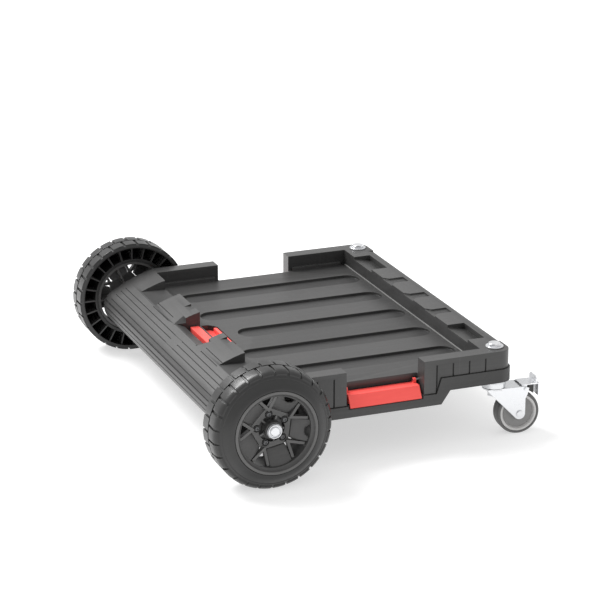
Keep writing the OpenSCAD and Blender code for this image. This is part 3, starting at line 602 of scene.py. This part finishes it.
# The lip is coloured paler than the rest of the rim.
lip_plastic = moulded_plastic("burnished rim lip", 0.115, 0.36, flow=0.5)
rim_plastic = moulded_plastic("rim moulding", 0.062, 0.4)
for side in side_sign:
    piece = copied(rim, wheel_place(side))
    piece.name = side + "_rim_moulding"
    dressed(piece, rim_plastic, side + "_wheel", "charcoal_moulding", side + "_rim")
    piece = copied(lip, wheel_place(side))
    piece.name = side + "_rim_lip"
    dressed(piece, lip_plastic, side + "_wheel", "charcoal_moulding", side + "_rim")
bpy.data.objects.remove(rim)
bpy.data.objects.remove(lip)


# ---- Hub bushes and screws -------------------------------------------------------------------
# A grey nylon bush pressed into each hub runs on the axle. Five black pan headed screws with a
# cross recess, driven in from outside, clamp the hub plate of each rim.

def pan_screw(name, shank):
    """A pan headed screw standing point down on its head's seat, shank in mm."""
    screw = turned(name, [(0, -shank), (1.2, -shank), (2, 1 - shank), (2, 0), (4.2, 0),
                          (4.2, 0.9), (3.5, 1.9), (1.9, 2.45), (0, 2.6)], 32)
    for turn in (0, math.pi / 2):
        recess = brace("recess", (4.4, 0.9, 2.6), (0, 0, 2.4), turn)
        apply(screw, "BOOLEAN", operation="DIFFERENCE", object=recess, solver="EXACT")
        bpy.data.objects.remove(recess)
    take(screw)
    bpy.ops.object.shade_smooth_by_angle(angle=math.radians(35))
    return screw


nylon = moulded_plastic("nylon bush", 0.26, 0.4, flow=0.3)
black_steel = zinc("blackened steel", 0.16, 0.4)
bush_end = tyre_w - 13
bush = turned("bush", [(8.1, -1.6), (8.5, -2), (10.6, -2), (11, -1.6), (11, bush_end - 0.4),
                       (10.6, bush_end), (8.5, bush_end), (8.1, bush_end - 0.4), (8.1, -1.6)], 72)
take(bush)
bpy.ops.object.shade_smooth_by_angle(angle=math.radians(30))
screw = pan_screw("hub_screw", 7)
for side in side_sign:
    piece = copied(bush, wheel_place(side))
    piece.name = side + "_nylon_bush"
    dressed(piece, nylon, side + "_wheel", "bearing_grey", side + "_hub_bush")
    screws = [copied(screw, around(i) @ Matrix.Translation((screw_ring_r * MM, 0, plate_z * MM)))
              for i in range(PANELS)]
    piece = joined(*screws)
    set_down(piece, wheel_place(side))
    piece.name = side + "_hub_screw_set"
    dressed(piece, black_steel, side + "_wheel", "black_screws", side + "_hub_screws")
bpy.data.objects.remove(bush)
bpy.data.objects.remove(screw)


# ---- Screws and washers of the frame ---------------------------------------------------------
# Zinc plated pan headed screws hold the skirt and the housing to the tray from below and behind,
# and a plain washer stands on each side of each rear hub.

def fitted(node, radius, finish_of_it, body, slot, over=30):
    """A designed part with its edges rounded to a radius in mm, finished and in its place."""
    piece = from_the_mould(node, node + "_made")
    edges_rounded(piece, radius * MM, over=over)
    dressed(piece, finish_of_it, body, slot, node)
    return piece


for node in ("tray_screws", "housing_screws"):
    fitted(node, 0.5, plated, "chassis", "zinc_plate")
fitted("axle_washers", 0.25, plated, "chassis", "zinc_plate")


# ---- Rear latch ------------------------------------------------------------------------------
# The red catch that slides in the floor of the finger notch: a flat plate with a grip bar behind
# and a lip in front that stands in the slot of the deck. Moulded from tough satin plastic.

def red_satin(name):
    """Red satin moulding: slight clouds and flow streaks, edges paler, partly worn and partly a
    painted highlight.
    """
    made, shader, place, corner = finish(name)
    clouds = place.noise(12, 3)
    streak = place.noise(30, 3, (1, 9, 9))
    edge = corner.ramp(0.52, 0.6)
    # Convex edges are painted paler: partly wear, partly a painted highlight.
    colour = (clouds * 0.5 + streak * 0.3 + edge * 0.4).mixed((0.8, 0.055, 0.05, 1),
                                                              (1, 0.13, 0.11, 1))
    wire(shader, Base_Color=colour, Roughness=0.36 + clouds * 0.16, Specular_IOR_Level=0.4,
         Normal=(place.noise(2400, 2) * 0.6 + streak * 0.6).relief(0.12, 0.0003))
    return made


latch_red = red_satin("red satin moulding")
fitted("rear_latch", 0.8, latch_red, "rear_latch_slide", "latch_red")


# ---- Side latches ----------------------------------------------------------------------------
# A red flap hangs in each side cut-out on two steel pins. Its top flange ends in a fine groove
# before the sloping face, and a gusset with a pin eye closes each end.

dark_pin = zinc("dark steel pin", 0.3, 0.35)
fitted("latch_pins", 0.3, dark_pin, "chassis", "zinc_plate")
for side in side_sign:
    fitted(side + "_latch", 0.55, latch_red, side + "_latch_flap", "latch_red", 24)


# ---- Caster bolts ----------------------------------------------------------------------------
# Each caster hangs on one zinc plated bolt that drops through the front corner of the tray: a
# chamfered hexagon head on a broad washer above, and a hexagon nut under the swivel bearing.

def hexagon(name, flats, height, bore=0.0):
    """A nut or a bolt head standing on z = 0, its corners turned off above, sizes in mm."""
    clear()
    bpy.ops.mesh.primitive_cylinder_add(vertices=6, radius=flats / math.sqrt(3) * MM,
                                        depth=height * MM, location=(0, 0, height / 2 * MM),
                                        rotation=(0, 0, math.pi / 6))
    nut = bpy.context.object
    nut.name = name
    set_down(nut, nut.matrix_world)
    corner = flats * 0.6
    blank = turned("blank", [(0, -1), (corner, -1), (corner, height - flats * 0.07),
                             (flats * 0.475, height + 0.01), (0, height + 0.01)], 64)
    apply(nut, "BOOLEAN", operation="INTERSECT", object=blank, solver="EXACT")
    bpy.data.objects.remove(blank)
    if bore:
        drill = turned("drill", [(0, -1), (bore, -1), (bore, height + 1), (0, height + 1)], 48)
        apply(nut, "BOOLEAN", operation="DIFFERENCE", object=drill, solver="EXACT")
        bpy.data.objects.remove(drill)
    edges_rounded(nut, 0.25 * MM, over=20)
    return nut


def rounded_ring(name, bore, rim, low, high, soft=0.6):
    """A flat ring with rounded outer edges between two heights, in mm."""
    ring = turned(name, [(bore, low), (rim, low), (rim, high), (bore, high), (bore, low)], 72)
    edges_rounded(ring, soft * MM, 3)
    return ring


bright_zinc = zinc("bright zinc plate", 0.86, 0.2)
bolt_low, bolt_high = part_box("caster_bolts")
washer_low, washer_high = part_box("caster_washers")
nut_low, nut_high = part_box("caster_nuts")
swivel_low, swivel_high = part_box("right_caster_head")
swivel = (swivel_low + swivel_high) / 2
seat_z = washer_high.z / MM
head_h = bolt_high.z / MM - seat_z
bolt_r = 6
hex_flats = 19
for side in side_sign:
    place = Matrix.Translation((swivel.x, side_sign[side] * abs(swivel.y), 0))
    turn = Matrix.Rotation(math.radians(17 if side == "right" else 40), 4, "Z")
    head = hexagon(side + "_bolt_head", hex_flats, head_h)
    set_down(head, Matrix.Translation((0, 0, seat_z * MM)) @ turn)
    foot = bolt_low.z / MM
    shank = turned("shank", [(0, foot), (bolt_r - 1, foot), (bolt_r, foot + 1),
                             (bolt_r, seat_z + 0.5), (0, seat_z + 0.5)], 48)
    take(shank)
    bpy.ops.object.shade_smooth_by_angle(angle=math.radians(30))
    bolt = joined(head, shank)
    set_down(bolt, place)
    dressed(bolt, bright_zinc, "chassis", "zinc_plate", "caster_bolts")
    washer = rounded_ring(side + "_bolt_washer", bolt_r + 0.1, 15, washer_low.z / MM, seat_z)
    set_down(washer, place)
    dressed(washer, bright_zinc, "chassis", "zinc_plate", "caster_washers")
    nut = hexagon(side + "_bolt_nut", hex_flats, (nut_high.z - nut_low.z) / MM, bolt_r + 0.1)
    set_down(nut, place @ Matrix.Translation((0, 0, nut_low.z)))
    dressed(nut, plated, "chassis", "zinc_plate", "caster_nuts")


# ---- Casters ---------------------------------------------------------------------------------
# Pressed and zinc plated: a cap clamped under the tray, a ring of balls, and a fork that swivels
# on them. The fork carries a grey wheel on a riveted axle, and a brake pedal on a pin.

TURN = math.radians(-5)
wheel_low, wheel_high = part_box("right_caster_tyre")
wheel_mid = (wheel_low + wheel_high) / 2
core_light = moulded_plastic("light core plastic", 0.62, 0.4, flow=0.3)
core_grey = moulded_plastic("grey core plastic", 0.27, 0.42, flow=0.3)
caster_rubber = moulded_plastic("grey tread rubber", 0.1, 0.5, flow=0.2)
shoe_rubber = moulded_plastic("black shoe rubber", 0.03, 0.6, flow=0.2)


def caster_wheel_place(side):
    """From a caster wheel lying flat to its place in the fork, on its slanting axle."""
    y = side_sign[side] * abs(wheel_mid.y)
    # Both forks are turned the same way, so the left wheel is no mirror image of the right one
    if side == "left":
        y = (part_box("left_caster_tyre")[0].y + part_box("left_caster_tyre")[1].y) / 2
    return (Matrix.Translation((wheel_mid.x, y, wheel_mid.z)) @ Matrix.Rotation(TURN, 4, "Z")
            @ Matrix.Rotation(math.pi / 2, 4, "X"))


tread = turned("tread", [
    (32.7, -11.6), (33.6, -12.6), (34.4, -12.9), (35.6, -12.5), (36.8, -11.2), (37.4, -9.4),
    (37.5, -7), (37.5, -0.5), (37.42, 0), (37.5, 0.5), (37.5, 7), (37.4, 9.4), (36.8, 11.2),
    (35.6, 12.5), (34.4, 12.9), (33.6, 12.6), (32.7, 11.6), (32.7, -11.6)], 96)
take(tread)
bpy.ops.object.shade_smooth_by_angle(angle=math.radians(50))
half_core = [(32.4, 11.4), (32, 12), (28.9, 12), (28.3, 11.4), (26.6, 8.2)]
rim_ring = turned("rim_ring", [(r, -h) for r, h in half_core] + half_core[::-1]
                  + [(32.4, -11.4)], 96)
edges_rounded(rim_ring, 0.2 * MM, over=30)
half_disc = [(6.6, 15), (10.6, 15), (11.6, 14), (12.4, 10.4), (14.4, 8.6), (20, 7.8), (25.4, 8.2),
             (26.5, 8)]
disc = turned("disc", [(r, -h) for r, h in half_disc] + [(r, h) for r, h in reversed(half_disc)]
              + [(6.6, -15)], 96)
edges_rounded(disc, 0.4 * MM, over=22)
for side in side_sign:
    own = side + "_caster"
    fitted(own + "_head", 0.6, plated, "chassis", "zinc_plate", 22)
    fitted(side + "_swivel_balls", 0.02, bright_zinc, own, "zinc_plate", 60)
    fitted(side + "_fork", 0.8, bright_zinc, own, "zinc_plate")
    fitted(own + "_axle", 0.9, plated, own, "zinc_plate")
    fitted(side + "_spacer", 0.3, plated, own, "zinc_plate")
    fitted(side + "_axle_nut", 0.6, plated, own, "zinc_plate")
    fitted(side + "_brake_pedal", 0.6, bright_zinc, side + "_brake", "zinc_plate")
    fitted(side + "_brake_shoe", 0.7, shoe_rubber, side + "_brake", "caster_rubber")
    fitted(side + "_pedal_pin", 0.5, plated, own, "zinc_plate")
    for made, finish_of_it, slot, node in (
            (tread, caster_rubber, "caster_rubber", "_caster_tyre"),
            (rim_ring, core_light, "caster_core", "_caster_hub"),
            (disc, core_grey, "caster_core", "_caster_hub")):
        piece = copied(made, caster_wheel_place(side))
        piece.name = own + "_" + made.name
        dressed(piece, finish_of_it, own + "_wheel", slot, side + node)
for spent in (tread, rim_ring, disc):
    bpy.data.objects.remove(spent)


# ---- Stage -----------------------------------------------------------------------------------
# A plain pale floor, one broad soft light from above the rear left, and a camera that looks down
# on the near rear wheel.

clear()
bpy.ops.mesh.primitive_plane_add(size=60)
floor = bpy.context.object
floor.name = "floor"
paper, paper_shader, paper_place, _ = finish("pale paper")
wire(paper_shader, Base_Color=paper_place.noise(3, 2).mixed(grey(0.51), grey(0.53)),
     Roughness=0.9, Specular_IOR_Level=0.1, Emission_Color=(1, 1, 1, 1), Emission_Strength=0.56)
floor.data.materials.append(paper)

world = bpy.data.worlds.new("studio")
bpy.context.scene.world = world
world.use_nodes = True
world.node_tree.nodes["Background"].inputs["Color"].default_value = (1, 1, 1, 1)
world.node_tree.nodes["Background"].inputs["Strength"].default_value = 0.78


def softbox(name, place, size, power):
    """A square light that faces the middle of the floor."""
    light = bpy.data.lights.new(name, "AREA")
    light.size = size
    light.energy = power
    lamp = bpy.data.objects.new(name, light)
    lamp.location = place
    lamp.rotation_euler = (-Vector(place)).to_track_quat("-Z", "Y").to_euler()
    bpy.context.scene.collection.objects.link(lamp)


softbox("key", (-1.5, 1.7, 3.2), 2.2, 210)

lens = bpy.data.cameras.new("camera")
lens.lens = 152.44
lens.sensor_width = 36
camera = bpy.data.objects.new("camera", lens)
camera.location = (-1.5546, -3.8829, 1.5935)
camera.rotation_euler = (math.radians(90 - 18.746), 0, math.radians(-21.731))
bpy.context.scene.collection.objects.link(camera)
bpy.context.scene.camera = camera
bpy.context.scene.view_settings.view_transform = "Standard"
